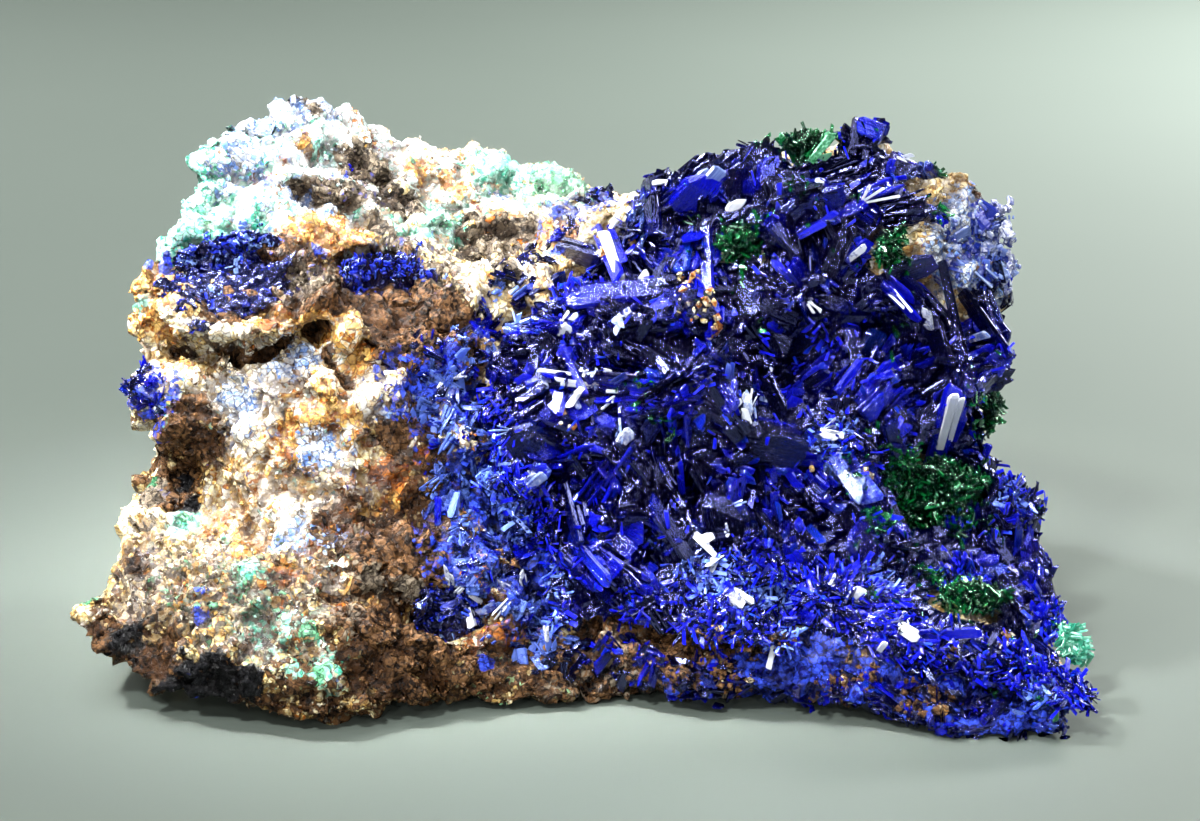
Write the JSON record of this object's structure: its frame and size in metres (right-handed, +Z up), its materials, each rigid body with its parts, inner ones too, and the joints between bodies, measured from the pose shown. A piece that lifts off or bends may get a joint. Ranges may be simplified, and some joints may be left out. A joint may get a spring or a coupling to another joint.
{
  "type": "linarite specimen",
  "caption": "Cabinet mineral specimen: deep blue bladed linarite crust and small green tufts on a block of quartz and brown limonite, resting on a flat base.",
  "frame": {"origin": "middle of the bounding box's footprint, on the flat that the rock rests on", "axes": "+X along the longest side, towards the crusted end; +Y from the crusted front to the back; +Z up"},
  "size_m": [0.0866, 0.0586, 0.0451],
  "materials": {
    "matrix": "rough granular rock, buff, brown and white",
    "linarite": "glassy deep blue blades",
    "green_crystal": "silky green needles"
  },
  "bodies": {
    "root": {"matrix": "matrix", "linarite_crust": "linarite", "linarite_patch_ledge": "linarite", "linarite_patch_saddle": "linarite", "linarite_patch_foot": "linarite", "green_tuft_top": "green_crystal", "green_tuft_side": "green_crystal", "green_tuft_hollow": "green_crystal", "green_tuft_pocket": "green_crystal", "green_tuft_rim": "green_crystal", "green_tuft_foot": "green_crystal", "green_tuft_corner": "green_crystal"}
  },
  "joints": []
}
